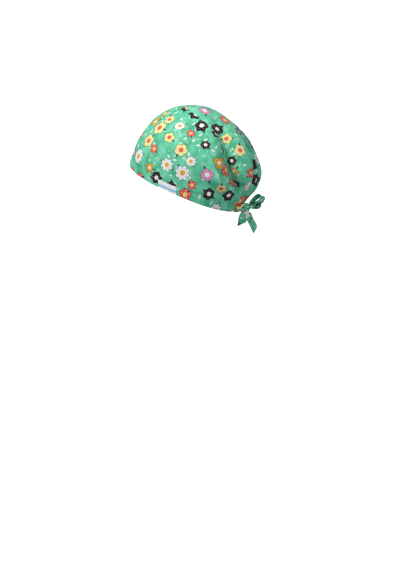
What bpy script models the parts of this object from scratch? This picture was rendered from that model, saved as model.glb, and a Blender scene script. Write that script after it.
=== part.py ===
"""A tie-back surgical scrub cap, as worn: two cloth panels, a bound hem, a sewn label and a bow at the nape.

Metres, +Z up. The wearer faces -Y and the wearer's left is +X. The origin is the middle of the head
opening. The crown is drawn on a disk: its rim is the hem, its centre the top of the head, "across" is
the wearer's left and "back" the nape, both as shares of the disk's radius.
"""

import math

import bmesh
import bpy
import numpy as np

# Crown, measured from its upright axis and from the middle of the head opening
AXIS_BACK = 0.007
FRONT_REACH = 0.1065
BACK_REACH = 0.1100
HALF_WIDTH = 0.083
CROWN_TOP = 0.133
HEM_FRONT = 0.038
HEM_SIDE = -0.012
HEM_BACK = -0.039
CLOTH = 0.0012

# Hem band, folded over the lower edge of the front panel
BAND_HEIGHT = 0.014
BAND_INSIDE = 0.009
BAND_CLOTH = 0.0010
BAND_LAP = 0.001
PUFF_RISE = 0.004
# Roundness of the band's fold, as a share of BAND_CLOTH
BAND_FOLD_ROUND = 0.2

# Sewn label on the band, over the wearer's left temple
LABEL_LENGTH = 0.033
LABEL_HEIGHT = 0.0132
LABEL_CLOTH = 0.0010
LABEL_ANGLE = math.radians(79)

# Folds and gathers
FOLD_DEPTH = 0.010
FOLD_WIDTH = 0.016
GATHER_DEPTH = 0.0022
GATHER_COUNT = 7
GATHER_RISE = 0.34
SEAM_DIP = 0.0012
SEAM_DIP_WIDTH = 0.005
# Where folds, gathers and the tuck fade out: shares of the disk's radius, then of the nape hem's half
FOLD_FADE = (0.08, 0.20)
GATHER_FADE = (0.7, 1.0)
TUCK_FADE = (0.9, 1.1)

# Bow at the nape
TIE_WIDTH = 0.0115
TIE_CLOTH = 0.0018
TIE_LIFT = 0.002
KNOT_WIDTH = 0.013
KNOT_DEPTH = 0.0115
KNOT_HEIGHT = 0.0155
KNOT_ABOVE_HEM = 0.0155
# The turn of cloth across the knot: its depth as a share, its waves and its slope
KNOT_PULL = 0.07
KNOT_WAVES = 1.5
KNOT_SLOPE = 0.25
KNOT_SQUARENESS = 0.25
LOOP_LENGTH = 0.0315
LOOP_OPENING = 0.014
# Share of a loop's turn that is inside the knot, its width there, and the share by which it is full
LOOP_START = 0.045
LOOP_NECK = 0.48
LOOP_FULL = 0.22
TAIL_LENGTH = 0.0385
TAIL_SLANT = 0.35
# Share of TIE_CLOTH by which a strip is crowned
STRIP_CROWN = 0.25
# A tie starts and bends at these shares of the way from the band's end to the nape
TIE_PLACES = (0.09, 0.45)
TIE_FOLD = 0.95
TIE_NECK = 0.62
TIE_LEAN = (0.2, 0.0, 0.1)
TIE_END = (0.3, 0.0, 0.2)
TIE_END_FACE = (0.5, 0.85, -0.05)

# Clearances
GAP = 0.0003
SEAM_GAP = 0.0004

# Grid of each piece
FRONT_ROWS = 15
TOP_COLUMNS = 20
SIDE_ROWS = 27
HEM_ROWS = 3
RIBBON_STEPS = 12
FOLD_STEPS = 17
LABEL_COLUMNS = 8
KNOT_SEGMENTS = 16
KNOT_RINGS = 10
SECTION_STEPS = 600
SEAM_CURVE_POINTS = 240
SEAM_STRAIGHT_POINTS = 12
SEAM_SAMPLING = 8
HEM_CROWDING = 0.8
LOW_ROWS_MOST = 0.95
HEM_PROBE = 0.03
LABEL_PROBE = 0.05
SHARP_ANGLE = math.radians(40)

# Level sections of the crown, from the nape hem up. Columns: height as a share of nape hem to top,
# then front, side and back as shares of FRONT_REACH, HALF_WIDTH and BACK_REACH.
SECTIONS = (
    (0.000, 0.925, 0.880, 0.668),
    (0.116, 0.970, 0.922, 0.802),
    (0.231, 1.000, 0.958, 0.928),
    (0.347, 0.995, 0.988, 0.980),
    (0.462, 0.958, 1.000, 0.960),
    (0.578, 0.894, 0.982, 0.900),
    (0.688, 0.816, 0.910, 0.812),
    (0.792, 0.696, 0.795, 0.673),
    (0.879, 0.558, 0.651, 0.516),
    (0.942, 0.415, 0.494, 0.368),
    (0.983, 0.249, 0.313, 0.220),
    (1.000, 0.000, 0.000, 0.000),
)

# Seam between the two panels on the disk, from the top of the head down the wearer's left.
# Columns: across, back.
SEAM = (
    (0.000, -0.070),
    (0.100, -0.035),
    (0.195, 0.055),
    (0.255, 0.160),
    (0.300, 0.270),
    (0.350, 0.385),
    (0.400, 0.500),
    (0.410, 0.620),
    (0.350, 0.755),
    (0.250, 0.870),
)
SEAM_SHOULDER = 0.27

# Folds on the disk, each from the nape up. Columns: across, back, then width and depth as shares of
# FOLD_WIDTH and FOLD_DEPTH. A depth below zero is a valley.
FOLDS = {
    "left_seam_valley": (
        (0.235, 0.850, 0.70, -0.80),
        (0.393, 0.705, 0.90, -1.15),
        (0.440, 0.585, 1.00, -1.15),
        (0.410, 0.488, 1.00, -1.00),
        (0.333, 0.405, 0.95, -0.75),
        (0.258, 0.312, 0.85, -0.40),
        (0.150, 0.230, 0.70, 0.00),
    ),
    "left_pouch": (
        (0.130, 0.870, 1.00, 0.30),
        (0.258, 0.680, 1.50, 0.75),
        (0.223, 0.562, 1.70, 0.75),
        (0.155, 0.423, 1.50, 0.45),
        (0.060, 0.290, 1.20, 0.00),
    ),
    "left_inner_ridge": (
        (0.350, 0.800, 0.70, 0.25),
        (0.490, 0.635, 0.80, 0.55),
        (0.515, 0.510, 0.80, 0.50),
        (0.448, 0.385, 0.80, 0.30),
        (0.383, 0.280, 0.70, 0.00),
    ),
    "left_crease": (
        (0.395, 0.810, 0.45, -0.40),
        (0.528, 0.683, 0.55, -0.80),
        (0.595, 0.585, 0.60, -0.80),
        (0.630, 0.470, 0.65, -0.60),
        (0.585, 0.357, 0.70, -0.35),
        (0.520, 0.230, 0.70, 0.00),
    ),
    "left_outer_ridge": (
        (0.500, 0.770, 0.80, 0.25),
        (0.683, 0.528, 1.10, 0.55),
        (0.685, 0.375, 1.10, 0.35),
        (0.610, 0.220, 1.00, 0.00),
    ),
    "left_low_valley": (
        (0.492, 0.802, 0.60, -0.20),
        (0.698, 0.590, 0.80, -0.35),
        (0.812, 0.350, 0.80, -0.25),
        (0.865, 0.120, 0.70, 0.00),
    ),
    "left_top_valley": (
        (0.450, 0.270, 0.60, 0.00),
        (0.430, 0.200, 0.70, -0.30),
        (0.390, 0.110, 0.70, -0.25),
        (0.330, 0.020, 0.60, 0.00),
    ),
    "back_valley": (
        (0.125, 0.860, 0.50, -0.35),
        (0.115, 0.770, 0.65, -0.70),
        (0.062, 0.680, 0.80, -0.75),
        (0.012, 0.580, 0.80, -0.50),
        (-0.005, 0.440, 0.70, 0.00),
    ),
    "right_pouch": (
        (-0.120, 0.870, 0.90, 0.25),
        (-0.230, 0.690, 1.40, 0.65),
        (-0.240, 0.540, 1.60, 0.60),
        (-0.160, 0.360, 1.30, 0.00),
    ),
    "right_seam_valley": (
        (-0.240, 0.850, 0.70, -0.70),
        (-0.385, 0.700, 0.90, -1.00),
        (-0.430, 0.560, 1.00, -1.00),
        (-0.370, 0.430, 0.95, -0.60),
        (-0.270, 0.300, 0.80, 0.00),
    ),
    "right_inner_ridge": (
        (-0.370, 0.790, 0.70, 0.20),
        (-0.505, 0.600, 0.85, 0.50),
        (-0.490, 0.440, 0.85, 0.35),
        (-0.400, 0.270, 0.70, 0.00),
    ),
    "right_crease": (
        (-0.420, 0.795, 0.45, -0.35),
        (-0.570, 0.620, 0.60, -0.75),
        (-0.610, 0.440, 0.65, -0.50),
        (-0.560, 0.250, 0.70, 0.00),
    ),
    "right_outer_ridge": (
        (-0.530, 0.740, 0.80, 0.20),
        (-0.700, 0.480, 1.10, 0.45),
        (-0.660, 0.240, 1.00, 0.00),
    ),
    "right_low_valley": (
        (-0.560, 0.740, 0.60, -0.15),
        (-0.790, 0.440, 0.80, -0.30),
        (-0.850, 0.160, 0.70, 0.00),
    ),
}

# Loops of the bow. Columns: the way each points (x, y, z), the way it opens (x, y, z), then its length
# and opening as shares of LOOP_LENGTH and LOOP_OPENING.
LOOPS = {
    "loop_left": (0.18, 0.84, 0.55, -0.50, -0.39, 0.77, 1.10, 1.00),
    "loop_right": (-0.84, 0.50, 0.14, 0.30, 0.05, 0.95, 0.90, 0.85),
}

# Tails of the bow. Columns: distance from the knot's middle (x, y, z) as shares of TAIL_LENGTH, the way
# the cloth faces (x, y, z), and its width as a share of TIE_WIDTH.
TAILS = {
    "tail_left": (
        (0.06, -0.01, -0.08, 0.90, 0.42, 0.00, 0.75),
        (0.17, -0.02, -0.24, 0.95, 0.30, 0.05, 1.15),
        (0.32, -0.09, -0.45, 0.97, 0.20, 0.15, 1.20),
        (0.43, -0.12, -0.72, 0.94, 0.15, 0.25, 1.00),
    ),
    "tail_right": (
        (-0.06, 0.02, -0.08, 0.85, 0.50, 0.00, 0.65),
        (-0.05, 0.09, -0.42, 0.92, 0.38, 0.00, 0.85),
        (0.00, 0.26, -0.72, 0.95, 0.30, 0.00, 0.90),
        (0.06, 0.40, -0.97, 0.95, 0.20, -0.10, 0.85),
    ),
}

COLOURS = {
    "print": (0.13, 0.55, 0.34, 1.0),
    "band": (0.16, 0.60, 0.38, 1.0),
    "label": (0.86, 0.88, 0.90, 1.0),
}
ROUGHNESS = 0.85


def smooth(low, high, value):
    share = np.clip((value - low) / (high - low), 0.0, 1.0)
    return share * share * (3.0 - 2.0 * share)


def along_rows(rows, place, past=None):
    """The smooth curve through the rows at these places, where the first row is 0, the next 1."""
    rows = np.asarray(rows, float)
    past = 2 * rows[-1] - rows[-2] if past is None else past
    rows = np.vstack((2 * rows[0] - rows[1], rows, past))
    place = np.asarray(place, float)
    row = np.clip(np.floor(place), 0, len(rows) - 4).astype(int)
    share = (place - row)[..., None]
    before, start, end, after = (rows[row + step] for step in range(4))
    start_slope, end_slope = (end - before) / 2, (after - start) / 2
    cubic = 2 * (start - end) + start_slope + end_slope
    square = 3 * (end - start) - 2 * start_slope - end_slope
    curve = ((cubic * share + square) * share + start_slope) * share + start
    below = start + (end - start) * share
    return np.where(share < 0, below, curve)


# Past the crown's top, a section's height repeats and its reaches change sign
PAST_TOP = np.array(SECTIONS[-2]) * (1.0, -1.0, -1.0, -1.0)
TOP_ROW = len(SECTIONS) - 1
FINE_ROWS = np.linspace(0, TOP_ROW, SECTION_STEPS)
FINE_HEIGHTS = along_rows(SECTIONS, FINE_ROWS, PAST_TOP)[:, 0]


def hem_height(angle):
    """Height of the hem at an angle round the head, 0 at the forehead and half a turn at the nape."""
    ends = (HEM_FRONT + HEM_BACK) / 2
    swing = (HEM_FRONT - HEM_BACK) / 2
    return (ends + HEM_SIDE) / 2 + swing * np.cos(angle) + (ends - HEM_SIDE) / 2 * np.cos(2 * angle)


def plain_crown(across, back):
    """Points of the crown without folds at places on the disk."""
    across, back = np.asarray(across, float), np.asarray(back, float)
    angle = np.arctan2(across, -back)
    rise = 1.0 - np.hypot(across, back)
    hem = (hem_height(angle) - HEM_BACK) / (CROWN_TOP - HEM_BACK)
    hem_row = np.interp(hem, FINE_HEIGHTS, FINE_ROWS)
    place = hem_row + (TOP_ROW - hem_row) * rise
    height, front, side, rear = np.moveaxis(along_rows(SECTIONS, place, PAST_TOP), -1, 0)
    reach = np.where(back < 0, front * FRONT_REACH, rear * BACK_REACH)
    return np.stack(
        (
            side * HALF_WIDTH * np.sin(angle),
            AXIS_BACK - reach * np.cos(angle),
            HEM_BACK + height * (CROWN_TOP - HEM_BACK),
        ),
        axis=-1,
    )


def normals_of(surface, across, back, step=0.004):
    """Unit normals, outwards, of a surface that is a function of the disk."""
    sideways = surface(across + step, back) - surface(across - step, back)
    rearward = surface(across, back + step) - surface(across, back - step)
    normal = np.cross(sideways, rearward)
    return normal / np.linalg.norm(normal, axis=-1, keepdims=True)


def to_line(points, line):
    """Distance to a line, and how far along it the nearest place is, as a share of its steps."""
    starts, runs = line[:-1], np.diff(line, axis=0)
    lengths = np.maximum(np.einsum("ij,ij->i", runs, runs), 1e-12)
    offsets = points[..., None, :] - starts
    shares = np.clip(np.einsum("...ij,ij->...i", offsets, runs) / lengths, 0, 1)
    distance = np.linalg.norm(offsets - shares[..., None] * runs, axis=-1)
    nearest = distance.argmin(axis=-1)[..., None]
    closest = np.take_along_axis(distance, nearest, -1)[..., 0]
    share = (nearest + np.take_along_axis(shares, nearest, -1))[..., 0] / len(runs)
    return closest, share


def seam_points():
    """The seam on the disk as a fine line, from the top of the head to the hem."""
    rows = np.array(SEAM)
    mirrored = np.vstack((rows[2:0:-1] * (-1, 1), rows))
    curve = along_rows(mirrored, np.linspace(2, len(mirrored) - 1, SEAM_CURVE_POINTS))
    rim = curve[-1] / np.hypot(*curve[-1])
    return np.vstack((curve, np.linspace(curve[-1], rim, SEAM_STRAIGHT_POINTS)[1:]))


def beside_seam(step=0.002):
    """The move on the disk that leads one metre away from the seam on the crown."""
    run = np.gradient(SEAM_LINE, axis=0)
    run /= np.linalg.norm(run, axis=1, keepdims=True)
    aside = np.stack((run[:, 1], -run[:, 0]), axis=1)
    ends = (plain_crown(*(SEAM_LINE + aside * side).T) for side in (step, -step))
    return aside * (2 * step / np.linalg.norm(np.subtract(*ends), axis=1, keepdims=True))


SEAM_LINE = seam_points()
SEAM_LENGTHS = np.concatenate(([0], np.cumsum(np.linalg.norm(np.diff(SEAM_LINE, axis=0), axis=1))))
SEAM_LENGTHS /= SEAM_LENGTHS[-1]
SEAM_END = float(SEAM_LENGTHS[-SEAM_STRAIGHT_POINTS])
SEAM_ASIDE = beside_seam()
FOLD_ROWS = [along_rows(rows, np.linspace(0, len(rows) - 1, FOLD_STEPS)) for rows in FOLDS.values()]
FOLD_LINES = [(plain_crown(rows[:, 0], rows[:, 1]), rows[:, 2], rows[:, 3]) for rows in FOLD_ROWS]
SEAM_ON_CROWN = plain_crown(*SEAM_LINE[::SEAM_SAMPLING].T)
BAND_END = math.atan2(SEAM_LINE[-SEAM_STRAIGHT_POINTS, 0], -SEAM_LINE[-SEAM_STRAIGHT_POINTS, 1])

# Shares of the seam at which both panels have a corner, so that their edges stay side by side
TOP_NODES = np.linspace(0, SEAM_SHOULDER, TOP_COLUMNS // 2 + 1)
SIDE_NODES = np.linspace(SEAM_SHOULDER, SEAM_END, SIDE_ROWS + 1)
SEAM_NODES = np.concatenate((TOP_NODES[:-1], SIDE_NODES))
HEM_COLUMNS = 2 * (len(SEAM_NODES) - 1)


def bump(distance, reach):
    """1 on a line and 0 from reach on, round between."""
    return np.clip(1 - (distance / reach) ** 2, 0, None) ** 2


def fold_height(across, back, points):
    """How far the folds, gathers and seam move each point of the plain crown along its normal."""
    rise = 1.0 - np.hypot(across, back)
    angle = np.abs(np.arctan2(across, -back))
    steps = np.linspace(0, 1, FOLD_STEPS)
    total = np.zeros(points.shape[:-1])
    for line, widths, depths in FOLD_LINES:
        distance, share = to_line(points, line)
        reach = FOLD_WIDTH * np.interp(share, steps, widths)
        total += FOLD_DEPTH * np.interp(share, steps, depths) * bump(distance, reach)
    distance, _ = to_line(mirror_left(points), SEAM_ON_CROWN)
    total -= SEAM_DIP * bump(distance, SEAM_DIP_WIDTH)
    total *= smooth(*FOLD_FADE, rise)
    from_nape = (math.pi - angle) / (math.pi - BAND_END)
    waves = np.cos(from_nape * math.pi * GATHER_COUNT / 2)
    window = (1 - smooth(*GATHER_FADE, from_nape)) * (1 - smooth(0.0, GATHER_RISE, rise))
    edge = plain_crown(np.sin(angle) * np.sign(across), -np.cos(angle))
    above = np.linalg.norm(points - edge, axis=-1)
    tuck = (GAP + BAND_CLOTH) * (1 - smooth(BAND_HEIGHT - BAND_LAP, BAND_HEIGHT + PUFF_RISE, above))
    return total + GATHER_DEPTH * waves * window - tuck * smooth(*TUCK_FADE, from_nape)


def mirror_left(points):
    """The points with the wearer's right folded on to the left."""
    left = points.copy()
    left[..., 0] = np.abs(left[..., 0])
    return left


def crown(across, back):
    """Points of the outer face of the crown at places on the disk, folds included."""
    points = plain_crown(across, back)
    normal = normals_of(plain_crown, across, back)
    return points + normal * fold_height(across, back, points)[..., None]


def seam(share, clearance):
    """Places on the seam, on the wearer's left for shares above 0, moved off it by a clearance in metres."""
    at = np.abs(share)
    line = SEAM_LINE + SEAM_ASIDE * clearance
    across = np.interp(at, SEAM_LENGTHS, line[:, 0])
    back = np.interp(at, SEAM_LENGTHS, line[:, 1])
    return np.stack((np.sign(share) * across, back), axis=-1)


def hem_angle(share):
    """Angle round the head at which the front panel's columns reach the hem."""
    end = seam(np.array(SEAM_END), SEAM_GAP / 2)
    full = math.atan2(end[0], -end[1])
    return np.sign(share) * full * np.abs(share) ** HEM_CROWDING


def both_sides(values):
    return np.concatenate((-values[:0:-1], values))


def front_grid():
    """Columns from the seam to the hem, with rows at the band's middle, its top and just above it."""
    inner = seam(both_sides(SEAM_NODES), SEAM_GAP / 2)
    angle = hem_angle(np.linspace(-1, 1, HEM_COLUMNS + 1))
    outer = np.stack((np.sin(angle), -np.cos(angle)), axis=-1)
    inwards = np.einsum("ij,ij->i", outer - inner, outer)
    heights = (BAND_HEIGHT + PUFF_RISE, BAND_HEIGHT, BAND_HEIGHT / 2, 0.0)
    low = [1 - np.minimum(rise_for(angle, height) / inwards, LOW_ROWS_MOST) for height in heights]
    high = [low[0] * row / (FRONT_ROWS - 3) for row in range(FRONT_ROWS - 3)]
    down = np.stack(high + low, axis=-1)[..., None]
    return inner[:, None] + (outer - inner)[:, None] * down


def back_grid():
    """A patch between the seam's two sides, its rounded top and the nape hem."""
    clear = -SEAM_GAP / 2
    top = seam(both_sides(TOP_NODES), clear)[:, None]
    sides = np.concatenate((SIDE_NODES, np.linspace(SEAM_END, 1, HEM_ROWS + 1)[1:]))
    right, left = seam(-sides, clear)[None], seam(sides, clear)[None]
    u = np.linspace(0, 1, len(top))[:, None, None]
    v = np.linspace(0, 1, len(sides))[None, :, None]
    corner = math.atan2(left[0, -1, 0], -left[0, -1, 1])
    angle = -corner + (2 * corner - 2 * math.pi) * u[:, 0, 0]
    hem = np.stack((np.sin(angle), -np.cos(angle)), axis=-1)[:, None]
    corners = (
        (1 - u) * (1 - v) * top[:1] + u * (1 - v) * top[-1:]
        + (1 - u) * v * hem[:1] + u * v * hem[-1:]
    )
    return (1 - v) * top + v * hem + (1 - u) * right + u * left - corners


def solid(name, colour, rows_of_points):
    """A closed solid from rings of points: quads between rings, and a cap on the first and last."""
    mesh = bpy.data.meshes.new(name)
    shape = bmesh.new()
    rings = [[shape.verts.new(point) for point in ring] for ring in rows_of_points]
    size = len(rings[0])
    for one, two in zip(rings, rings[1:]):
        for i in range(size):
            j = (i + 1) % size
            shape.faces.new((one[i], one[j], two[j], two[i]))
    shape.faces.new(rings[0])
    shape.faces.new(rings[-1][::-1])
    bmesh.ops.recalc_face_normals(shape, faces=shape.faces)
    return finished(name, colour, mesh, shape)


def finished(name, colour, mesh, shape):
    bmesh.ops.triangulate(shape, faces=[f for f in shape.faces if len(f.verts) > 4])
    shape.to_mesh(mesh)
    shape.free()
    mesh.shade_smooth()
    mesh.set_sharp_from_angle(angle=SHARP_ANGLE)
    mesh.materials.append(material(colour))
    made = bpy.data.objects.new(name, mesh)
    bpy.context.scene.collection.objects.link(made)
    return made


def material(colour):
    made = bpy.data.materials.get(colour)
    if made is None:
        made = bpy.data.materials.new(colour)
        made.use_nodes = True
        surface = made.node_tree.nodes["Principled BSDF"]
        surface.inputs["Base Color"].default_value = COLOURS[colour]
        surface.inputs["Roughness"].default_value = ROUGHNESS
        surface.inputs["Metallic"].default_value = 0.0
    return made


def cloth_panel(name, colour, places):
    """A cloth wall on the crown over a grid of places on the disk."""
    across, back = places[..., 0], places[..., 1]
    outside = crown(across, back)
    inside = outside - normals_of(crown, across, back) * CLOTH
    mesh = bpy.data.meshes.new(name)
    shape = bmesh.new()
    outer = [[shape.verts.new(point) for point in column] for column in outside]
    inner = [[shape.verts.new(point) for point in column] for column in inside]
    columns, rows = len(outer) - 1, len(outer[0]) - 1
    for i in range(columns):
        for j in range(rows):
            for wall in (outer, inner):
                shape.faces.new((wall[i][j], wall[i + 1][j], wall[i + 1][j + 1], wall[i][j + 1]))
    rim = [(i, 0) for i in range(columns)] + [(columns, j) for j in range(rows)]
    rim += [(i, rows) for i in range(columns, 0, -1)] + [(0, j) for j in range(rows, 0, -1)]
    for (i, j), (k, m) in zip(rim, rim[1:] + rim[:1]):
        shape.faces.new((outer[i][j], outer[k][m], inner[k][m], inner[i][j]))
    bmesh.ops.recalc_face_normals(shape, faces=shape.faces)
    return finished(name, colour, mesh, shape)


def rise_for(angles, height):
    """The share of the disk's radius that is this high above the hem, measured on the cloth."""
    across, back = np.sin(angles), -np.cos(angles)
    inside = 1 - HEM_PROBE
    edge, near = plain_crown(across, back), plain_crown(across * inside, back * inside)
    return HEM_PROBE * height / np.linalg.norm(edge - near, axis=-1)


def place_above_hem(angles, height):
    radius = 1 - rise_for(angles, height)
    return np.sin(angles) * radius, -np.cos(angles) * radius


def hem_frame(angles):
    """Hem points, outward normals and the way down the cloth at these angles round the head."""
    across, back = np.sin(angles), -np.cos(angles)
    edge = crown(across, back)
    above = crown(across * (1 - HEM_PROBE), back * (1 - HEM_PROBE))
    down = edge - above
    down /= np.linalg.norm(down, axis=1, keepdims=True)
    return edge, normals_of(crown, across, back), down


def up_the_cloth(angles, height):
    """Crown points and normals this far above the hem, measured on the cloth."""
    place = place_above_hem(angles, height)
    return crown(*place), normals_of(crown, *place)


def hem_band():
    """Cloth folded over the front panel's lower edge, from tie to tie."""
    angles = hem_angle(np.linspace(-1, 1, HEM_COLUMNS + 1))
    edge, normal, down = hem_frame(angles)
    near, far = GAP, GAP + BAND_CLOTH
    bent = near + BAND_CLOTH * BAND_FOLD_ROUND
    heights = (BAND_HEIGHT, BAND_HEIGHT / 2)
    legs = [up_the_cloth(angles, height) for height in heights]
    inside, inside_normal = up_the_cloth(angles, BAND_INSIDE)
    corners = [point + way * far for point, way in legs]
    corners.append(edge + normal * far)
    corners.append(edge + normal * bent + down * far)
    corners.append(edge - normal * (CLOTH + bent) + down * far)
    corners.append(edge - normal * (CLOTH + far))
    corners.append(inside - inside_normal * (CLOTH + far))
    corners.append(inside - inside_normal * (CLOTH + near))
    corners.append(edge - normal * (CLOTH + near) + down * near)
    corners.append(edge + normal * near + down * near)
    corners.extend(point + way * near for point, way in reversed(legs))
    return solid("hem_band", "band", np.stack(corners, axis=1))


def label():
    """A flat woven label sewn over the band at the temple."""
    near, _, _ = hem_frame(LABEL_ANGLE + np.array((-LABEL_PROBE, LABEL_PROBE)))
    half = LABEL_LENGTH * LABEL_PROBE / np.linalg.norm(near[1] - near[0])
    angles = np.linspace(LABEL_ANGLE - half, LABEL_ANGLE + half, LABEL_COLUMNS + 1)
    under = GAP + BAND_CLOTH + GAP
    legs = [up_the_cloth(angles, LABEL_HEIGHT * share) for share in (0.0, 0.5, 1.0)]
    outside = [point + way * (under + LABEL_CLOTH) for point, way in legs]
    inside = [point + way * under for point, way in reversed(legs)]
    return solid("label", "label", np.stack(outside + inside, axis=1))


def knot_centre():
    """The knot sits on the gathers at the middle of the nape."""
    point, normal = up_the_cloth(np.array([math.pi]), KNOT_ABOVE_HEM)
    return point[0] + normal[0] * (KNOT_DEPTH / 2 + GATHER_DEPTH + GAP)


def knot_shape(name, clearance):
    """A round knot pulled in by the turn of cloth across it."""
    shape = bmesh.new()
    bmesh.ops.create_uvsphere(shape, u_segments=KNOT_SEGMENTS, v_segments=KNOT_RINGS, radius=1.0)
    size = np.array((KNOT_WIDTH, KNOT_DEPTH, KNOT_HEIGHT)) / 2 + clearance
    centre = knot_centre()
    for vert in shape.verts:
        x, y, z = vert.co
        turn = 1 - KNOT_PULL * math.cos(2 * math.pi * KNOT_WAVES * (z + KNOT_SLOPE * x))
        square = max(abs(x), abs(y), abs(z)) ** -KNOT_SQUARENESS
        vert.co = centre + size * (x, y, z) * turn * square
    return finished(name, "print", bpy.data.meshes.new(name), shape)


def ribbon(name, line, face, widths, slant=0.0):
    """A folded strip of cloth along a line, with the way it faces at each point."""
    run = np.gradient(line, axis=0)
    run /= np.linalg.norm(run, axis=1, keepdims=True)
    across = np.cross(run, face)
    across /= np.linalg.norm(across, axis=1, keepdims=True)
    up = np.cross(across, run)
    ends = np.zeros(len(line))
    ends[-1] = slant
    rings = []
    for place in (-1, 0, 1):
        middle = line + across * widths[:, None] / 2 * place
        middle += run * (ends * widths * place)[:, None]
        rings.append(middle + up * TIE_CLOTH * (0.5 + STRIP_CROWN * (1 - place * place)))
    for place in (1, 0, -1):
        middle = line + across * widths[:, None] / 2 * place
        middle += run * (ends * widths * place)[:, None]
        rings.append(middle - up * TIE_CLOTH * (0.5 - STRIP_CROWN * (1 - place * place)))
    return solid(name, "print", np.stack(rings, axis=1))


def cut_by_knot(strip, cutter):
    """Ends a strip where it meets the knot, a gap away from it."""
    cut = strip.modifiers.new("knot", "BOOLEAN")
    cut.operation = "DIFFERENCE"
    cut.solver = "EXACT"
    cut.object = cutter


def unit(vector):
    return np.array(vector) / np.linalg.norm(vector)


def loop(name, cutter):
    """A drop-shaped loop of the tie, both ends in the knot."""
    row = LOOPS[name]
    along, opening = unit(row[0:3]), np.array(row[3:6])
    opening = unit(opening - along * (along @ opening))
    turn = np.linspace(LOOP_START, 1 - LOOP_START, 2 * RIBBON_STEPS)
    reach = np.sin(math.pi * turn) * LOOP_LENGTH * row[6]
    spread = np.sin(2 * math.pi * turn) * LOOP_OPENING / 2 * row[7]
    line = knot_centre() + reach[:, None] * along + spread[:, None] * opening
    run = np.gradient(line, axis=0)
    face = np.cross(run, np.cross(along, opening))
    fullness = smooth(0.0, LOOP_FULL, np.minimum(turn, 1 - turn))
    widths = TIE_WIDTH * (LOOP_NECK + (1 - LOOP_NECK) * fullness)
    cut_by_knot(ribbon(name, line, face, widths), cutter)


def tail(name, cutter):
    """A loose end of the tie that hangs from the knot."""
    rows = np.array(TAILS[name])
    fine = along_ribbon(rows)
    line = knot_centre() + fine[:, 0:3] * TAIL_LENGTH
    cut_by_knot(ribbon(name, line, fine[:, 3:6], fine[:, 6] * TIE_WIDTH, TAIL_SLANT), cutter)


def along_ribbon(rows):
    """Rows of a strip joined by a smooth curve."""
    return along_rows(rows, np.linspace(0, len(rows) - 1, RIBBON_STEPS))


def root(name, side, cutter):
    """The end of a tie, folded up from the hem band over the gathers to the knot."""
    angles = BAND_END + (math.pi - BAND_END) * np.array(TIE_PLACES)
    fold = BAND_HEIGHT * TIE_FOLD
    low, high = place_above_hem(angles, BAND_HEIGHT / 2), place_above_hem(angles, fold)
    outward = normals_of(plain_crown, *low)
    start = plain_crown(*low)[0] + outward[0] * (GAP + TIE_CLOTH / 2 + TIE_LIFT / 2)
    bend = plain_crown(*high)[1] + outward[1] * (GATHER_DEPTH + TIE_CLOTH + TIE_LIFT)
    end = knot_centre() + np.array(TIE_END) * (KNOT_WIDTH, KNOT_DEPTH, KNOT_HEIGHT)
    points = (start, bend, end)
    faces = (outward[0], unit(outward[1] + TIE_LEAN), unit(TIE_END_FACE))
    widths = (fold, fold, TIE_WIDTH * TIE_NECK)
    fine = along_ribbon(np.column_stack((points, faces, widths)))
    fine[:, [0, 3]] *= side
    cut_by_knot(ribbon(name, fine[:, 0:3], fine[:, 3:6], fine[:, 6]), cutter)


def bow():
    knot_shape("knot", 0.0)
    cutter = knot_shape("knot_clearance", GAP)
    cutter.hide_render = True
    cutter.display_type = "WIRE"
    for name in LOOPS:
        loop(name, cutter)
    for name in TAILS:
        tail(name, cutter)
    root("tie_left", 1, cutter)
    root("tie_right", -1, cutter)


def main():
    for obj in list(bpy.data.objects):
        bpy.data.objects.remove(obj)
    cloth_panel("front_panel", "print", front_grid())
    cloth_panel("back_panel", "print", back_grid())
    hem_band()
    label()
    bow()


main()
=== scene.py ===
# %% [markdown]
# # A tie-back scrub cap
# A scrub cap is thin printed cotton: a wide front panel, a gathered back panel, a folded hem band
# and two ties that end in a bow at the nape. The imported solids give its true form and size. This
# lesson makes each piece of cloth again with a fine surface, its folds, seams, stitches and print.

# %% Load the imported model
import math
from functools import partial

import bpy
import numpy as np
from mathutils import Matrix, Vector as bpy_vector


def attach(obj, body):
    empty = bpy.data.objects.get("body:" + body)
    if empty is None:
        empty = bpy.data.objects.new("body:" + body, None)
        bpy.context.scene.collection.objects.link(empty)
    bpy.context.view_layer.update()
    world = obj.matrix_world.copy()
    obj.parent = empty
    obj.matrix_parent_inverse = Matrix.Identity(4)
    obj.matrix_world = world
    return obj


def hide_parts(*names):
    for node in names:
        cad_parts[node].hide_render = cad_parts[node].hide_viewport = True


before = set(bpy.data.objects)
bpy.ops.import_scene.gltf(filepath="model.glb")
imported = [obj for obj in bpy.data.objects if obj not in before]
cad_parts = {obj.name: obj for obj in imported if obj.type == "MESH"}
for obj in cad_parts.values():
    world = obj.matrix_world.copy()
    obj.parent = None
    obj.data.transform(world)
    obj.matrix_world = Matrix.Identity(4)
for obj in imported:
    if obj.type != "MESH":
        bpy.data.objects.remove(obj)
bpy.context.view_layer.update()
print("nodes:", sorted(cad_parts))

# %% [markdown]
# ## Camera
# The cap is seen from the wearer's left and a little behind. A long lens from far away keeps the
# cap's near side and its outline at the same scale, so the camera stands 6 m off. One pixel of the
# 400 by 570 picture spans 1.62 mm of the cap.

# %% Camera
FRAME_PIXELS = (400, 570)
ORIGIN_PIXEL = (188, 187)
PIXEL_SIZE = 0.00162
VIEW_AZIMUTH = math.radians(105)
VIEW_ELEVATION = math.radians(3.5)
CAMERA_DISTANCE = 6.0
SENSOR_HEIGHT = 24.0


def unit(vectors):
    """The same directions, each one metre long."""
    vectors = np.asarray(vectors, float)
    return vectors / np.linalg.norm(vectors, axis=-1, keepdims=True)


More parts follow.
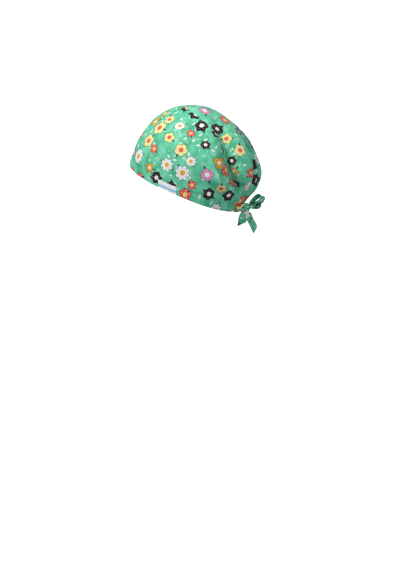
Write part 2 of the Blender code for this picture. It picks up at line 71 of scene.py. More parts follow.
to_camera = unit((
    math.sin(VIEW_AZIMUTH) * math.cos(VIEW_ELEVATION),
    -math.cos(VIEW_AZIMUTH) * math.cos(VIEW_ELEVATION),
    math.sin(VIEW_ELEVATION),
))
picture_right = unit(np.cross(-to_camera, (0, 0, 1)))
picture_up = np.cross(picture_right, -to_camera)
aim = picture_right * (FRAME_PIXELS[0] / 2 - ORIGIN_PIXEL[0]) * PIXEL_SIZE
aim = aim - picture_up * (FRAME_PIXELS[1] / 2 - ORIGIN_PIXEL[1]) * PIXEL_SIZE

bpy.ops.object.camera_add(
    location=aim + to_camera * CAMERA_DISTANCE,
    rotation=(math.pi / 2 - VIEW_ELEVATION, 0, VIEW_AZIMUTH),
)
camera = bpy.context.object
camera.data.sensor_fit = "VERTICAL"
camera.data.sensor_height = SENSOR_HEIGHT
camera.data.lens = SENSOR_HEIGHT * CAMERA_DISTANCE / (FRAME_PIXELS[1] * PIXEL_SIZE)
bpy.context.scene.camera = camera
print("lens, mm:", round(camera.data.lens, 1))

# %% [markdown]
# ## The crown's form
# The crown is one smooth surface that both panels lie on. It is drawn on a disk, like a cap pressed
# flat: the rim is the hem, the centre is the top of the head, "across" leads to the wearer's left
# and "back" to the nape. Level sections give its form, and a smooth curve runs through them.

# %% Sizes of the crown
AXIS_BACK = 0.007
FRONT_REACH = 0.1065
BACK_REACH = 0.1100
HALF_WIDTH = 0.083
CROWN_TOP = 0.133
HEM_FRONT = 0.038
HEM_SIDE = -0.012
HEM_BACK = -0.039
SECTION_STEPS = 600
CLOTH = 0.0012
GAP = 0.0003

# Columns: height, front, side and back, as shares of the sizes above
SECTIONS = (
    (0.000, 0.925, 0.880, 0.668),
    (0.116, 0.970, 0.922, 0.802),
    (0.231, 1.000, 0.958, 0.928),
    (0.347, 0.995, 0.988, 0.980),
    (0.462, 0.958, 1.000, 0.960),
    (0.578, 0.894, 0.982, 0.900),
    (0.688, 0.816, 0.910, 0.812),
    (0.792, 0.696, 0.795, 0.673),
    (0.879, 0.558, 0.651, 0.516),
    (0.942, 0.415, 0.494, 0.368),
    (0.983, 0.249, 0.313, 0.220),
    (1.000, 0.000, 0.000, 0.000),
)


# %% Smooth steps and curves
def smooth(low, high, value):
    """0 below low, 1 above high, with a soft step between them."""
    share = np.clip((value - low) / (high - low), 0.0, 1.0)
    return share * share * (3.0 - 2.0 * share)


def curve_through(rows, places, past=None):
    """The smooth curve through table rows, where the first row is at place 0."""
    rows = np.asarray(rows, float)
    past = 2 * rows[-1] - rows[-2] if past is None else past
    rows = np.vstack((2 * rows[0] - rows[1], rows, past))
    places = np.asarray(places, float)
    row = np.clip(np.floor(places), 0, len(rows) - 4).astype(int)
    share = (places - row)[..., None]
    before, start, end, after = (rows[row + step] for step in range(4))
    start_slope, end_slope = (end - before) / 2, (after - start) / 2
    cubic = 2 * (start - end) + start_slope + end_slope
    square = 3 * (end - start) - 2 * start_slope - end_slope
    curve = ((cubic * share + square) * share + start_slope) * share + start
    return np.where(share < 0, start + (end - start) * share, curve)


PAST_TOP = np.array(SECTIONS[-2]) * (1.0, -1.0, -1.0, -1.0)
TOP_ROW = len(SECTIONS) - 1
FINE_ROWS = np.linspace(0, TOP_ROW, SECTION_STEPS)
FINE_HEIGHTS = curve_through(SECTIONS, FINE_ROWS, PAST_TOP)[:, 0]


# %% The plain crown
def hem_height(angle):
    """Height of the hem round the head: angle 0 is the forehead, half a turn the nape."""
    ends = (HEM_FRONT + HEM_BACK) / 2
    swing = (HEM_FRONT - HEM_BACK) / 2
    return (ends + HEM_SIDE) / 2 + swing * np.cos(angle) + (ends - HEM_SIDE) / 2 * np.cos(2 * angle)


def on_disk(angle, radius=1.0):
    """The place, across and back, that lies this way from the disk's middle."""
    return np.sin(angle) * radius, -np.cos(angle) * radius


def plain_crown(across, back):
    """Points of the crown without folds."""
    angle = np.arctan2(across, -back)
    rise = 1.0 - np.hypot(across, back)
    hem = (hem_height(angle) - HEM_BACK) / (CROWN_TOP - HEM_BACK)
    hem_row = np.interp(hem, FINE_HEIGHTS, FINE_ROWS)
    place = hem_row + (TOP_ROW - hem_row) * rise
    height, front, side, rear = np.moveaxis(curve_through(SECTIONS, place, PAST_TOP), -1, 0)
    reach = np.where(back < 0, front * FRONT_REACH, rear * BACK_REACH)
    x = side * HALF_WIDTH * np.sin(angle)
    y = AXIS_BACK - reach * np.cos(angle)
    z = HEM_BACK + height * (CROWN_TOP - HEM_BACK)
    return np.stack((x, y, z), axis=-1)


def normals_of(surface, across, back, step=0.004):
    """Unit normals, outwards, of a surface that is a function of the disk."""
    sideways = surface(across + step, back) - surface(across - step, back)
    rearward = surface(across, back + step) - surface(across, back - step)
    return unit(np.cross(sideways, rearward))


print("crown top, mm:", plain_crown(np.array(0.0), np.array(0.0)) * 1000)

# %% [markdown]
# ## Seam and folds
# A curved seam joins the panels. Where the ties pull at the nape, the slack cloth lies in folds
# that fan out from the knot. Each fold is a line on the disk with a width and a depth along it,
# and moves the surface along its normal. Cloth simulation would put folds anywhere, so they are
# placed where the real cap has them.

# %% Seam and sizes of folds
SEAM_GAP = 0.0002
SEAM_SHOULDER = 0.27
SEAM_DIP = 0.0012
SEAM_DIP_WIDTH = 0.005
FOLD_DEPTH = 0.010
FOLD_WIDTH = 0.016
FOLD_STEPS = 17
GATHER_DEPTH = 0.0022
GATHER_COUNT = 7
GATHER_RISE = 0.34

# Columns: across, back
SEAM = (
    (0.000, -0.070),
    (0.100, -0.035),
    (0.195, 0.055),
    (0.255, 0.160),
    (0.300, 0.270),
    (0.350, 0.385),
    (0.400, 0.500),
    (0.410, 0.620),
    (0.350, 0.755),
    (0.250, 0.870),
)

# %% Folds
# Columns: across, back, then width and depth as shares of FOLD_WIDTH and FOLD_DEPTH
FOLDS = {
    "left_seam_valley": (
        (0.235, 0.85, 0.7, -0.8), (0.393, 0.705, 0.9, -1.55), (0.44, 0.585, 1.0, -1.65),
        (0.41, 0.488, 1.0, -1.45), (0.333, 0.405, 0.95, -0.95), (0.258, 0.312, 0.85, -0.4),
        (0.15, 0.23, 0.7, 0.0),
    ),
    "left_pouch": (
        (0.13, 0.87, 1.0, 0.3), (0.258, 0.68, 1.5, 0.75), (0.223, 0.562, 1.7, 0.75),
        (0.155, 0.423, 1.5, 0.45), (0.06, 0.29, 1.2, 0.0),
    ),
    "left_inner_ridge": (
        (0.35, 0.8, 0.7, 0.15), (0.49, 0.635, 0.8, 0.2), (0.515, 0.51, 0.8, 0.2),
        (0.448, 0.385, 0.8, 0.15), (0.383, 0.28, 0.7, 0.0),
    ),
    "left_crease": (
        (0.395, 0.81, 0.45, 0.15), (0.528, 0.683, 0.55, 0.7), (0.595, 0.585, 0.6, 1.0),
        (0.63, 0.47, 0.65, 0.95), (0.585, 0.357, 0.7, 0.6), (0.52, 0.23, 0.7, 0.0),
    ),
    "left_outer_ridge": (
        (0.5, 0.77, 0.8, 0.15), (0.683, 0.528, 1.1, 0.2), (0.685, 0.375, 1.1, 0.15),
        (0.61, 0.22, 1.0, 0.0),
    ),
    "left_low_valley": (
        (0.492, 0.802, 0.6, -0.2), (0.698, 0.59, 0.8, -0.18), (0.812, 0.35, 0.8, -0.18),
        (0.865, 0.12, 0.7, 0.0),
    ),
    "left_top_valley": (
        (0.45, 0.27, 0.6, 0.0), (0.43, 0.2, 0.7, -0.45), (0.39, 0.11, 0.7, -0.35),
        (0.33, 0.02, 0.6, 0.0),
    ),
    "back_valley": (
        (0.125, 0.86, 0.5, -0.35), (0.115, 0.77, 0.65, -0.9), (0.062, 0.68, 0.8, -1.05),
        (0.012, 0.58, 0.8, -0.75), (-0.005, 0.44, 0.7, 0.0),
    ),
    "right_pouch": (
        (-0.12, 0.87, 0.9, 0.25), (-0.23, 0.69, 1.4, 0.65), (-0.24, 0.54, 1.6, 0.6),
        (-0.16, 0.36, 1.3, 0.0),
    ),
    "right_seam_valley": (
        (-0.24, 0.85, 0.7, -0.7), (-0.385, 0.7, 0.9, -1.0), (-0.43, 0.56, 1.0, -1.0),
        (-0.37, 0.43, 0.95, -0.6), (-0.27, 0.3, 0.8, 0.0),
    ),
    "right_inner_ridge": (
        (-0.37, 0.79, 0.7, 0.2), (-0.505, 0.6, 0.85, 0.5), (-0.49, 0.44, 0.85, 0.35),
        (-0.4, 0.27, 0.7, 0.0),
    ),
    "right_crease": (
        (-0.42, 0.795, 0.45, 0.15), (-0.57, 0.62, 0.6, 0.5), (-0.61, 0.44, 0.65, 0.4),
        (-0.56, 0.25, 0.7, 0.0),
    ),
    "right_outer_ridge": (
        (-0.53, 0.74, 0.8, 0.15), (-0.7, 0.48, 1.1, 0.2), (-0.66, 0.24, 1.0, 0.0),
    ),
    "right_low_valley": (
        (-0.56, 0.74, 0.6, -0.15), (-0.79, 0.44, 0.8, -0.3), (-0.85, 0.16, 0.7, 0.0),
    ),
}

# How far a fold reaches in front of its line and behind it, as shares of its width. A crease is a
# fold laid over: its back edge drops steeply.
LEANS = {
    "left_seam_valley": (1.5, 0.5),
    "left_crease": (1.8, 0.25),
    "back_valley": (1.3, 0.6),
    "right_seam_valley": (1.5, 0.5),
    "right_crease": (1.8, 0.25),
}

# %% [markdown]
# ## Studio
# The picture has soft light from the front, brightest on the upper left of the cap, and a white
# ground. An area lamp gives the key light, two larger ones fill the shade, and a plain pale floor and
# backdrop stand for the studio's paper roll.

# %% Materials helper
MATH, MIX, RANGE, VECTOR = (
    "ShaderNode" + kind for kind in ("Math", "Mix", "MapRange", "VectorMath")
)


def add_node(tree, kind, sources=(), operation=None, **settings):
    """Add a shader node; sources are nodes, outputs or values for its sockets, by order or by name."""
    made = tree.nodes.new(kind)
    if operation:
        made.operation = operation
    for setting, value in settings.items():
        setattr(made, setting, value)
    sockets = [socket for socket in made.inputs if socket.enabled]
    named = sources.items() if isinstance(sources, dict) else enumerate(sources)
    for key, source in named:
        socket = sockets[key] if isinstance(key, int) else made.inputs[key]
        if isinstance(source, bpy.types.Node):
            source = next(output for output in source.outputs if output.enabled)
        if isinstance(source, bpy.types.NodeSocket):
            tree.links.new(source, socket)
        else:
            socket.default_value = source
    return made


def add_steps(add, kind, source, *steps):
    """A chain of nodes of one kind, each fed by the one before and by its own values."""
    for operation, *values in steps:
        source = add(kind, (source, *values), operation)
    return source


def linear(code):
    """A colour written as sRGB hex, as the shader needs it."""
    parts = [int(code[start:start + 2], 16) / 255 for start in (1, 3, 5)]
    return tuple(p / 12.92 if p <= 0.04045 else ((p + 0.055) / 1.055) ** 2.4 for p in parts) + (1.0,)


def new_material(name):
    """A material with no nodes yet, and the call that adds nodes to it."""
    material = bpy.data.materials.new(name)
    material.use_nodes = True
    material.node_tree.nodes.clear()
    return material, partial(add_node, material.node_tree)


def add_surface(add, sources):
    """The material's Principled shader, with what feeds its sockets."""
    surface = add("ShaderNodeBsdfPrincipled", sources)
    add("ShaderNodeOutputMaterial", {"Surface": surface})


# %% Floor, backdrop and lamps
FLOOR_HEIGHT = -0.62
PAPER_RADIUS = 9.0
PAPER_GLOW = 1.3
# Columns: right, up and towards the camera in metres, size, watts
LAMPS = {
    "key_lamp": (-1.6, 2.1, 1.4, 0.6, 76),
    "fill_lamp": (1.5, -0.5, 2.6, 2.0, 26),
    "top_lamp": (0.9, 2.4, 0.4, 1.4, 10),
}

paper, add = new_material("matt_paper_roll")
add_surface(add, {
    "Base Color": linear("#FAFAFA"), "Roughness": 0.95, "Emission Color": linear("#FFFFFF"),
    "Emission Strength": PAPER_GLOW,
})
bpy.ops.mesh.primitive_circle_add(
    vertices=96, radius=PAPER_RADIUS, fill_type="NGON", location=(0, 0, FLOOR_HEIGHT)
)
floor = bpy.context.object
floor.name = "paper_floor"
bpy.ops.mesh.primitive_cylinder_add(
    vertices=96, radius=PAPER_RADIUS, depth=2 * PAPER_RADIUS, end_fill_type="NOTHING"
)
backdrop = bpy.context.object
backdrop.name = "paper_backdrop"
for paper_piece in (floor, backdrop):
    paper_piece.data.materials.append(paper)
    # The paper is seen, but the lamps alone light the cap
    paper_piece.visible_diffuse = False
    paper_piece.visible_glossy = False
    paper_piece.visible_shadow = False

for name, (right, up, near, size, watts) in LAMPS.items():
    place = picture_right * right + picture_up * up + to_camera * near
    bpy.ops.object.light_add(type="AREA", location=place)
    lamp = bpy.context.object
    lamp.name = name
    lamp.data.size = size
    lamp.data.energy = watts
    lamp.rotation_euler = bpy_vector(-place).to_track_quat("-Z", "Y").to_euler()
world = bpy.data.worlds.new("studio_air")
bpy.context.scene.world = world
world.use_nodes = True
air = world.node_tree.nodes["Background"].inputs
air["Color"].default_value = linear("#E6F1FC")
air["Strength"].default_value = 0.26
# The plain view keeps the print's colours as they were mixed
bpy.context.scene.view_settings.view_transform = "Standard"
print("lamps:", ", ".join(LAMPS))

# %% [markdown]
# ## Printed cotton poplin
# The cap's cloth is cotton poplin: a plain weave of fine threads, about 0.25 mm apart, with a soft
# matt face. It is printed with small motifs on mottled mint green. The print here is a plain garden
# one: round flowers, daisies and clover, with small leaves, pale sprigs and white drops between. A
# Voronoi texture deals out the places, one motif to a cell 29 mm wide, and its random colour picks
# the motif, its size and its turn. A motif is a radius that changes with the angle round its
# middle, so petals are a cosine.

# %% Print sizes and colours
MOTIF_SPACING = 0.0290
MOTIF_SCATTER = 0.45
PEN_LINE = 0.0005
PETAL_GAP = 0.16
SMALLEST = 0.62
DOT_PLACE = 0.64
DOT_SIZE = 0.026
DROP_SPACING = 0.0115
MOTTLE_SIZE = 0.018
SPRIG_SPACING = 0.019
LEAF_PLACE = 0.42
LEAF_SIZE = 0.14
# Poplin threads are too fine to show here, so they are drawn 0.6 mm apart
THREAD_SPACING = 0.0006
# A Wave Texture of scale 1 has a wave every pi / 10
WAVE_SCALE = math.pi / 10
WASH_RANGE = (0.36, 0.64)
DROP_REACH = 0.31
DROP_SLIM = 2.1
LEAF_SLIM = 2.6
SPRIG_STEPS = (("MULTIPLY", 2.5), ("COSINE",), ("POWER", 6.0), ("MULTIPLY", 0.24))
GROUND = {
    "light": "#7BDFB6", "deep": "#4ABC8C", "pen": "#23302F", "drop": "#F4FFF8", "leaf": "#1F2A28",
    "wrong": "#B5E9D0",
}

# Columns: random value up to which it is picked, petals, petal depth, size and middle's size as
# shares of the spacing, then the colours of the petals, the middle and the ring of dots
MOTIFS = {
    "clover": (1.00, 3, 0.40, 0.40, 0.11, "#EFB03A", "#FFFFFF", "#7A4A16"),
    "butter_flower": (0.86, 5, 0.22, 0.43, 0.15, "#F7F0A0", "#F2645F", "#E9B93C"),
    "pink_flower": (0.72, 4, 0.26, 0.38, 0.13, "#F49CC8", "#FFFFFF", "#C9397F"),
    "daisy": (0.56, 8, 0.30, 0.45, 0.15, "#FFFFFF", "#F0B232", "#F7A9C4"),
    "night_flower": (0.38, 6, 0.22, 0.42, 0.14, "#101014", "#FFFFFF", "#F2645F"),
    "coral_flower": (0.18, 5, 0.28, 0.42, 0.14, "#F2554F", "#FBE27A", "#FFFFFF"),
}

# %% Motif of the print
def motif_nodes(add, row, radius, angle):
    """The colour and the cover of one motif, from the distance and angle round its middle."""
    _, petals, depth, size, middle, petal_colour, middle_colour, dot_colour = row
    lobe = add_steps(add, MATH, angle, ("MULTIPLY", petals / 2), ("COSINE",), ("ABSOLUTE",))
    edge = add(MATH, (lobe, size * depth, size * (1 - depth)), "MULTIPLY_ADD")
    inside = add(MATH, (edge, radius), "SUBTRACT")
    pen = PEN_LINE / MOTIF_SPACING
    cover = add(RANGE, (inside, -pen, 0.0, 0.0, 1.0))
    fill = add(RANGE, (inside, pen / 2, pen * 1.5, 0.0, 1.0))
    parted = add(RANGE, (lobe, 0.0, PETAL_GAP, 0.45, 1.0))
    petal = add(MATH, (fill, parted), "MULTIPLY")
    from_middle = add(MATH, (radius, middle), "SUBTRACT")
    heart = add(RANGE, (from_middle, 0.0, pen, 1.0, 0.0))
    colour = add(MIX, (petal, linear(GROUND["pen"]), linear(petal_colour)), data_type="RGBA")
    out = size * DOT_PLACE
    along = add(MATH, (radius, out), "SUBTRACT")
    aside = 8 * (out / petals) ** 2
    aside = add(MATH, (lobe, -aside, aside), "MULTIPLY_ADD")
    from_dot = add(MATH, (along, along, aside), "MULTIPLY_ADD")
    dotted = add(RANGE, (from_dot, DOT_SIZE ** 2, DOT_SIZE ** 2 * 1.6, 1.0, 0.0))
    colour = add(MIX, (dotted, colour, linear(dot_colour)), data_type="RGBA")
    colour = add(MIX, (heart, colour, linear(middle_colour)), data_type="RGBA")
    return colour, cover


# %% Scattered places of the print
def scattered(add, metres, spacing, scatter):
    """A random place in each cell: where it lies from here, its distance, three random values."""
    place = add(VECTOR, (metres, 1 / spacing), "SCALE")
    cells = add(
        "ShaderNodeTexVoronoi", {"Vector": place, "Scale": 1.0, "Randomness": scatter},
        voronoi_dimensions="2D",
    )
    offset = add(VECTOR, (place, cells.outputs["Position"]), "SUBTRACT")
    chance = add("ShaderNodeSeparateColor", (cells.outputs["Color"],))
    turn = add(MATH, (chance.outputs[0], 2 * math.pi), "MULTIPLY")
    turned = add("ShaderNodeVectorRotate", {"Vector": offset, "Angle": turn}, rotation_type="Z_AXIS")
    return turned, cells.outputs["Distance"], chance


def angle_of(add, place):
    """The angle of a place round the middle of its cell."""
    parts = add("ShaderNodeSeparateXYZ", (place,))
    return add(MATH, (parts.outputs[1], parts.outputs[0]), "ARCTAN2")


# %% Ground of the print
def ground_nodes(add, metres):
    """A watercolour wash in two greens with white drops and pale sprigs, and the wash alone."""
    wash = add("ShaderNodeTexNoise", {"Vector": metres, "Scale": 1 / MOTTLE_SIZE, "Detail": 4.0})
    depth = add(RANGE, (wash.outputs[0], *WASH_RANGE, 0.0, 1.0))
    ground = add(MIX, (depth, linear(GROUND["deep"]), linear(GROUND["light"])), data_type="RGBA")
    place, _, chance = scattered(add, metres, DROP_SPACING, 1.0)
    length = add_steps(add, VECTOR, place, ("MULTIPLY", (1.0, DROP_SLIM, 1.0)), ("LENGTH",))
    reach = add(RANGE, (chance.outputs[1], 0.25, 0.9, 0.0, DROP_REACH))
    drop = add(MATH, (reach, length), "SUBTRACT")
    drop = add(RANGE, (drop, 0.0, 0.05, 0.0, 0.85))
    colour = add(MIX, (drop, ground, linear(GROUND["drop"])), data_type="RGBA")

    # A sprig is a fan of five thin blades
    place, distance, _ = scattered(add, metres, SPRIG_SPACING, 0.8)
    fan = add_steps(add, MATH, angle_of(add, place), *SPRIG_STEPS)
    sprig = add(MATH, (fan, distance), "SUBTRACT")
    sprig = add(RANGE, (sprig, 0.0, 0.02, 0.0, 0.55))
    return add(MIX, (sprig, colour, linear(GROUND["drop"])), data_type="RGBA"), wash


# %% Motifs laid on the ground
def printed_motifs(add, metres, colour):
    """The print's colour with a motif and its two leaves in each cell."""
    turned, distance, chance = scattered(add, metres, MOTIF_SPACING, MOTIF_SCATTER)
    scale = add(RANGE, (chance.outputs[2], 0.0, 1.0, SMALLEST, 1.0))
    radius = add(MATH, (distance, scale), "DIVIDE")
    angle = angle_of(add, turned)
    size = add(MATH, (1.0, scale), "DIVIDE")
    leaf = add_steps(
        add, VECTOR, turned, ("ABSOLUTE",), ("SCALE", size), ("SUBTRACT", (LEAF_PLACE, 0, 0)),
        ("MULTIPLY", (1.0, LEAF_SLIM, 1.0)), ("LENGTH",),
    )
    leaf = add(RANGE, (leaf, LEAF_SIZE, LEAF_SIZE * 0.9, 0.0, 1.0))
    colour = add(MIX, (leaf, colour, linear(GROUND["leaf"])), data_type="RGBA")

    # The last motif picked covers the ones before it
    cover = None
    for row in MOTIFS.values():
        tint, here = motif_nodes(add, row, radius, angle)
        if cover is None:
            motif, cover = tint, here
            continue
        picked = add(MATH, (chance.outputs[1], row[0]), "LESS_THAN")
        motif = add(MIX, (picked, motif, tint), data_type="RGBA")
        cover = add(MIX, (picked, cover, here))
    return add(MIX, (cover, colour, motif), data_type="RGBA")


# %% The printed cloth
def printed_poplin(name, wrong_side):
    """Printed cotton poplin; on the wrong side the print shows through paler."""
    cloth, add = new_material(name)
    metres = add("ShaderNodeUVMap").outputs["UV"]
    ground, wash = ground_nodes(add, metres)
    colour = printed_motifs(add, metres, ground)
    colour = add(MIX, (wrong_side, colour, linear(GROUND["wrong"])), data_type="RGBA")

    # Weave: two sets of crossing threads as a fine relief
    bands = {"Vector": metres, "Scale": WAVE_SCALE / THREAD_SPACING, "Distortion": 0.6}
    threads = [
        add("ShaderNodeTexWave", bands, wave_type="BANDS", bands_direction=way).outputs[1]
        for way in ("X", "Y")
    ]
    weave = add(MATH, threads, "MULTIPLY")
    relief = add("ShaderNodeBump", {"Strength": 0.25, "Distance": 0.0002, "Height": weave})
    # Painted shade: the cloth is painted up to a tenth darker where the weave's relief is low, between the
    # threads
    painted_weave_shade = add(RANGE, (weave, 0.0, 1.0, 0.90, 1.0))
    colour = add(VECTOR, (colour, painted_weave_shade), "SCALE")
    rough = add(RANGE, (wash.outputs[0], 0.3, 0.7, 0.78, 0.88))
    add_surface(add, {
        "Base Color": colour, "Normal": relief, "Roughness": rough, "IOR": 1.47,
        "Specular IOR Level": 0.35, "Sheen Weight": 0.12, "Sheen Roughness": 0.45,
    })
    return cloth


poplin_face = printed_poplin("printed_cotton_poplin", 0.0)
poplin_back = printed_poplin("printed_cotton_poplin_wrong_side", 0.45)
print("nodes in the print:", len(poplin_face.node_tree.nodes))

# %% [markdown]
# ## Label satin and sewing thread
# The label is damask-woven polyester satin: smooth, bright white and a little glossy, with fine
# ribs. It carries no words here, only a plain pale blue stripe. The sewing thread is twisted
# polyester, with a soft shine and a slanted twist.

# %% Label satin
RIB_SPACING = 0.0007
STRIPE = {"height": 0.0048, "width": 0.0013}

satin, add = new_material("woven_polyester_satin")
label_flat = add("ShaderNodeUVMap").outputs["UV"]
ribs = add(
    "ShaderNodeTexWave",
    {"Vector": label_flat, "Scale": WAVE_SCALE / RIB_SPACING, "Distortion": 0.3},
    wave_type="BANDS", bands_direction="DIAGONAL",
)
up_label = add("ShaderNodeAttribute", attribute_name="up_label", attribute_type="GEOMETRY")
from_stripe = add_steps(
    add, MATH, up_label.outputs["Fac"], ("SUBTRACT", STRIPE["height"]), ("ABSOLUTE",)
)
stripe = add(RANGE, (from_stripe, STRIPE["width"], STRIPE["width"] * 1.15, 1.0, 0.0))
# Painted shade: the ribs' hollows are painted a cool pale grey and their tops white; the blue stripe lies
# over them
tone = add(MIX, (ribs.outputs[1], linear("#E9EFF4"), linear("#FFFFFF")), data_type="RGBA")
tone = add(MIX, (stripe, tone, linear("#7CC4EA")), data_type="RGBA")
raised = add("ShaderNodeBump", {"Strength": 0.3, "Distance": 0.0002, "Height": ribs.outputs[1]})
add_surface(add, {"Base Color": tone, "Normal": raised, "Roughness": 0.42, "Sheen Weight": 0.2})

# %% Sewing thread
TWIST_SPACING = 0.0004


def twisted_thread(name, colour):
    """Polyester sewing thread with a slanted twist."""
    thread, add = new_material(name)
    place = add("ShaderNodeTexCoord").outputs["Object"]
    twist = add(
        "ShaderNodeTexWave", {"Vector": place, "Scale": WAVE_SCALE / TWIST_SPACING},
        wave_type="BANDS", bands_direction="DIAGONAL",
    )
    shade = add(RANGE, (twist.outputs[1], 0.0, 1.0, 0.75, 1.0))
    tint = add(VECTOR, (linear(colour)[:3], shade), "SCALE")
    add_surface(add, {"Base Color": tint, "Roughness": 0.5})
    return thread


mint_thread = twisted_thread("mint_polyester_thread", "#8CE0BC")
white_thread = twisted_thread("white_polyester_thread", "#FFFFFF")
print("materials:", [material.name for material in (satin, mint_thread, white_thread)])

# %% Seam line on the disk
SEAM_CURVE_POINTS = 240
SEAM_STRAIGHT_POINTS = 12


def seam_points():
    """The wearer's left half of the seam, from the top of the head to the hem."""
    rows = np.array(SEAM)
    mirrored = np.vstack((rows[2:0:-1] * (-1, 1), rows))
    curve = curve_through(mirrored, np.linspace(2, len(mirrored) - 1, SEAM_CURVE_POINTS))
    rim = curve[-1] / np.hypot(*curve[-1])
    return np.vstack((curve, np.linspace(curve[-1], rim, SEAM_STRAIGHT_POINTS)[1:]))


def beside_seam(step=0.002):
    """The move on the disk that leads one metre away from the seam on the crown."""
    run = unit(np.gradient(SEAM_LINE, axis=0))
    aside = np.stack((run[:, 1], -run[:, 0]), axis=1)
    ends = (plain_crown(*(SEAM_LINE + aside * side).T) for side in (step, -step))
    return aside * (2 * step / np.linalg.norm(np.subtract(*ends), axis=1, keepdims=True))


def lengths_along(line):
    """How far along a line each of its points is."""
    return np.concatenate(([0], np.cumsum(np.linalg.norm(np.diff(line, axis=0), axis=1))))


SEAM_LINE = seam_points()
SEAM_LENGTHS = lengths_along(SEAM_LINE)
SEAM_LENGTHS /= SEAM_LENGTHS[-1]
SEAM_END = float(SEAM_LENGTHS[-SEAM_STRAIGHT_POINTS])
SEAM_ASIDE = beside_seam()
SEAM_ON_CROWN = plain_crown(*SEAM_LINE[::4].T)
BAND_END = math.atan2(SEAM_LINE[-SEAM_STRAIGHT_POINTS, 0], -SEAM_LINE[-SEAM_STRAIGHT_POINTS, 1])


def seam(share, clearance):
    """Disk places along the seam, -1 to 1; clearance in metres, above 0 towards the front panel."""
    at = np.abs(share)
    line = SEAM_LINE + SEAM_ASIDE * clearance
    across = np.interp(at, SEAM_LENGTHS, line[:, 0])
    back = np.interp(at, SEAM_LENGTHS, line[:, 1])
    return np.stack((np.sign(share) * across, back), axis=-1)


print("the band ends at", round(math.degrees(BAND_END)), "degrees from the forehead")

# %% Folds, gathers and puckers as heights
BAND_HEIGHT = 0.014
BAND_CLOTH = 0.0010
PUFF_RISE = 0.004
PUCKER_DEPTH = 0.00035
PUCKER_REACH = 0.013
PUCKER_LENGTH = 0.0075
RUMPLE_DEPTH = 0.0007
RUMPLE_WAVES = 9
CREASE_ROUND = 0.0012
CREASE_WIDER = 1.15
CREASE_DEEPER = 1.3
CREASE_POWER = 1.6
FOLD_FADE = (0.08, 0.20)
GATHER_FADE = (0.7, 1.0)
TUCK_FADE = (0.9, 1.1)
BAND_LAP = 0.001
RUMPLE_TURNS = (60, 150)
HEM_RADIUS = 0.09
PUCKER_TURNS = HEM_RADIUS * 2 * math.pi / PUCKER_LENGTH
HEAD_CENTRE = (0.0, AXIS_BACK, 0.02)

FOLD_ROWS = [curve_through(rows, np.linspace(0, len(rows) - 1, FOLD_STEPS)) for rows in FOLDS.values()]
FOLD_LINES = [
    (plain_crown(rows[:, 0], rows[:, 1]), rows[:, 2], rows[:, 3], LEANS.get(name, (1.0, 1.0)))
    for name, rows in zip(FOLDS, FOLD_ROWS)
]
seeded = np.random.default_rng(7)
RUMPLES = [
    (unit(seeded.normal(size=3)) * seeded.uniform(*RUMPLE_TURNS), seeded.uniform(0, 2 * math.pi))
    for _ in range(RUMPLE_WAVES)
]


# %% Distance to a fold, and its profile
def to_line(points, line):
    """Distance to a line, share of the line at the nearest place, and True behind it."""
    starts, runs = line[:-1], np.diff(line, axis=0)
    lengths = np.maximum(np.einsum("ij,ij->i", runs, runs), 1e-12)
    offsets = points[..., None, :] - starts
    shares = np.clip(np.einsum("...ij,ij->...i", offsets, runs) / lengths, 0, 1)
    distance = np.linalg.norm(offsets - shares[..., None] * runs, axis=-1)
    nearest = distance.argmin(axis=-1)[..., None]
    closest = np.take_along_axis(distance, nearest, -1)[..., 0]
    share = (nearest + np.take_along_axis(shares, nearest, -1))[..., 0] / len(runs)
    run = runs[nearest[..., 0]]
    offset = points - starts[nearest[..., 0]]
    behind = (np.cross(run, points - HEAD_CENTRE) * offset).sum(axis=-1) * line[0, 0] > 0
    return closest, share, behind


def bump(distance, reach):
    """1 on a line, 0 from reach on, round between."""
    return np.clip(1 - (distance / reach) ** 2, 0, None) ** 2


def crease(distance, reach):
    """1 on a line, 0 from reach on, with straight sides and a narrow round bottom."""
    soft = np.sqrt(distance ** 2 + CREASE_ROUND ** 2) - CREASE_ROUND
    return np.clip(1 - soft / reach, 0, None) ** CREASE_POWER


